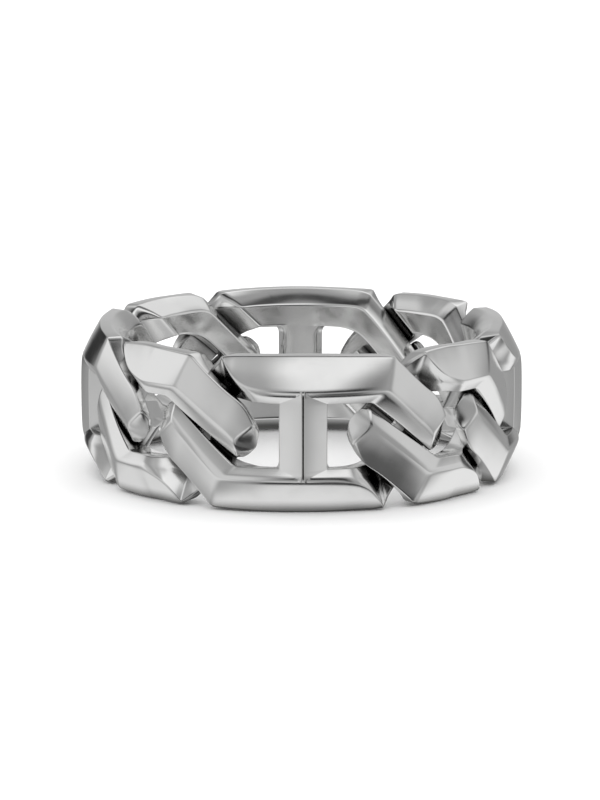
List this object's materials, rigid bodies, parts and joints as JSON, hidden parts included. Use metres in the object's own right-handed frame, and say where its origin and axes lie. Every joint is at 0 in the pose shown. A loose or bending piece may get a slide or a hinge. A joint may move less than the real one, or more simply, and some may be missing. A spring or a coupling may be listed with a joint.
{
  "type": "chain link ring",
  "caption": "Wide finger ring of interlocking faceted silver links in a closed circle: long links with an upright crossbar alternate with short curb links.",
  "frame": {"origin": "on the surface that the ring lies on, below the middle of the finger hole", "axes": "+Z along the finger hole, away from the surface; -Y towards the long link at the front; +X to its right as seen from the front"},
  "size_m": [0.0254, 0.0254, 0.0087],
  "materials": {
    "silver": "polished sterling silver, softened along its edges"
  },
  "bodies": {
    "root": {"long_link_front": "silver", "small_link_front_right": "silver", "long_link_right": "silver", "small_link_back_right": "silver", "long_link_back": "silver", "small_link_back_left": "silver", "long_link_left": "silver", "small_link_front_left": "silver"}
  },
  "joints": []
}
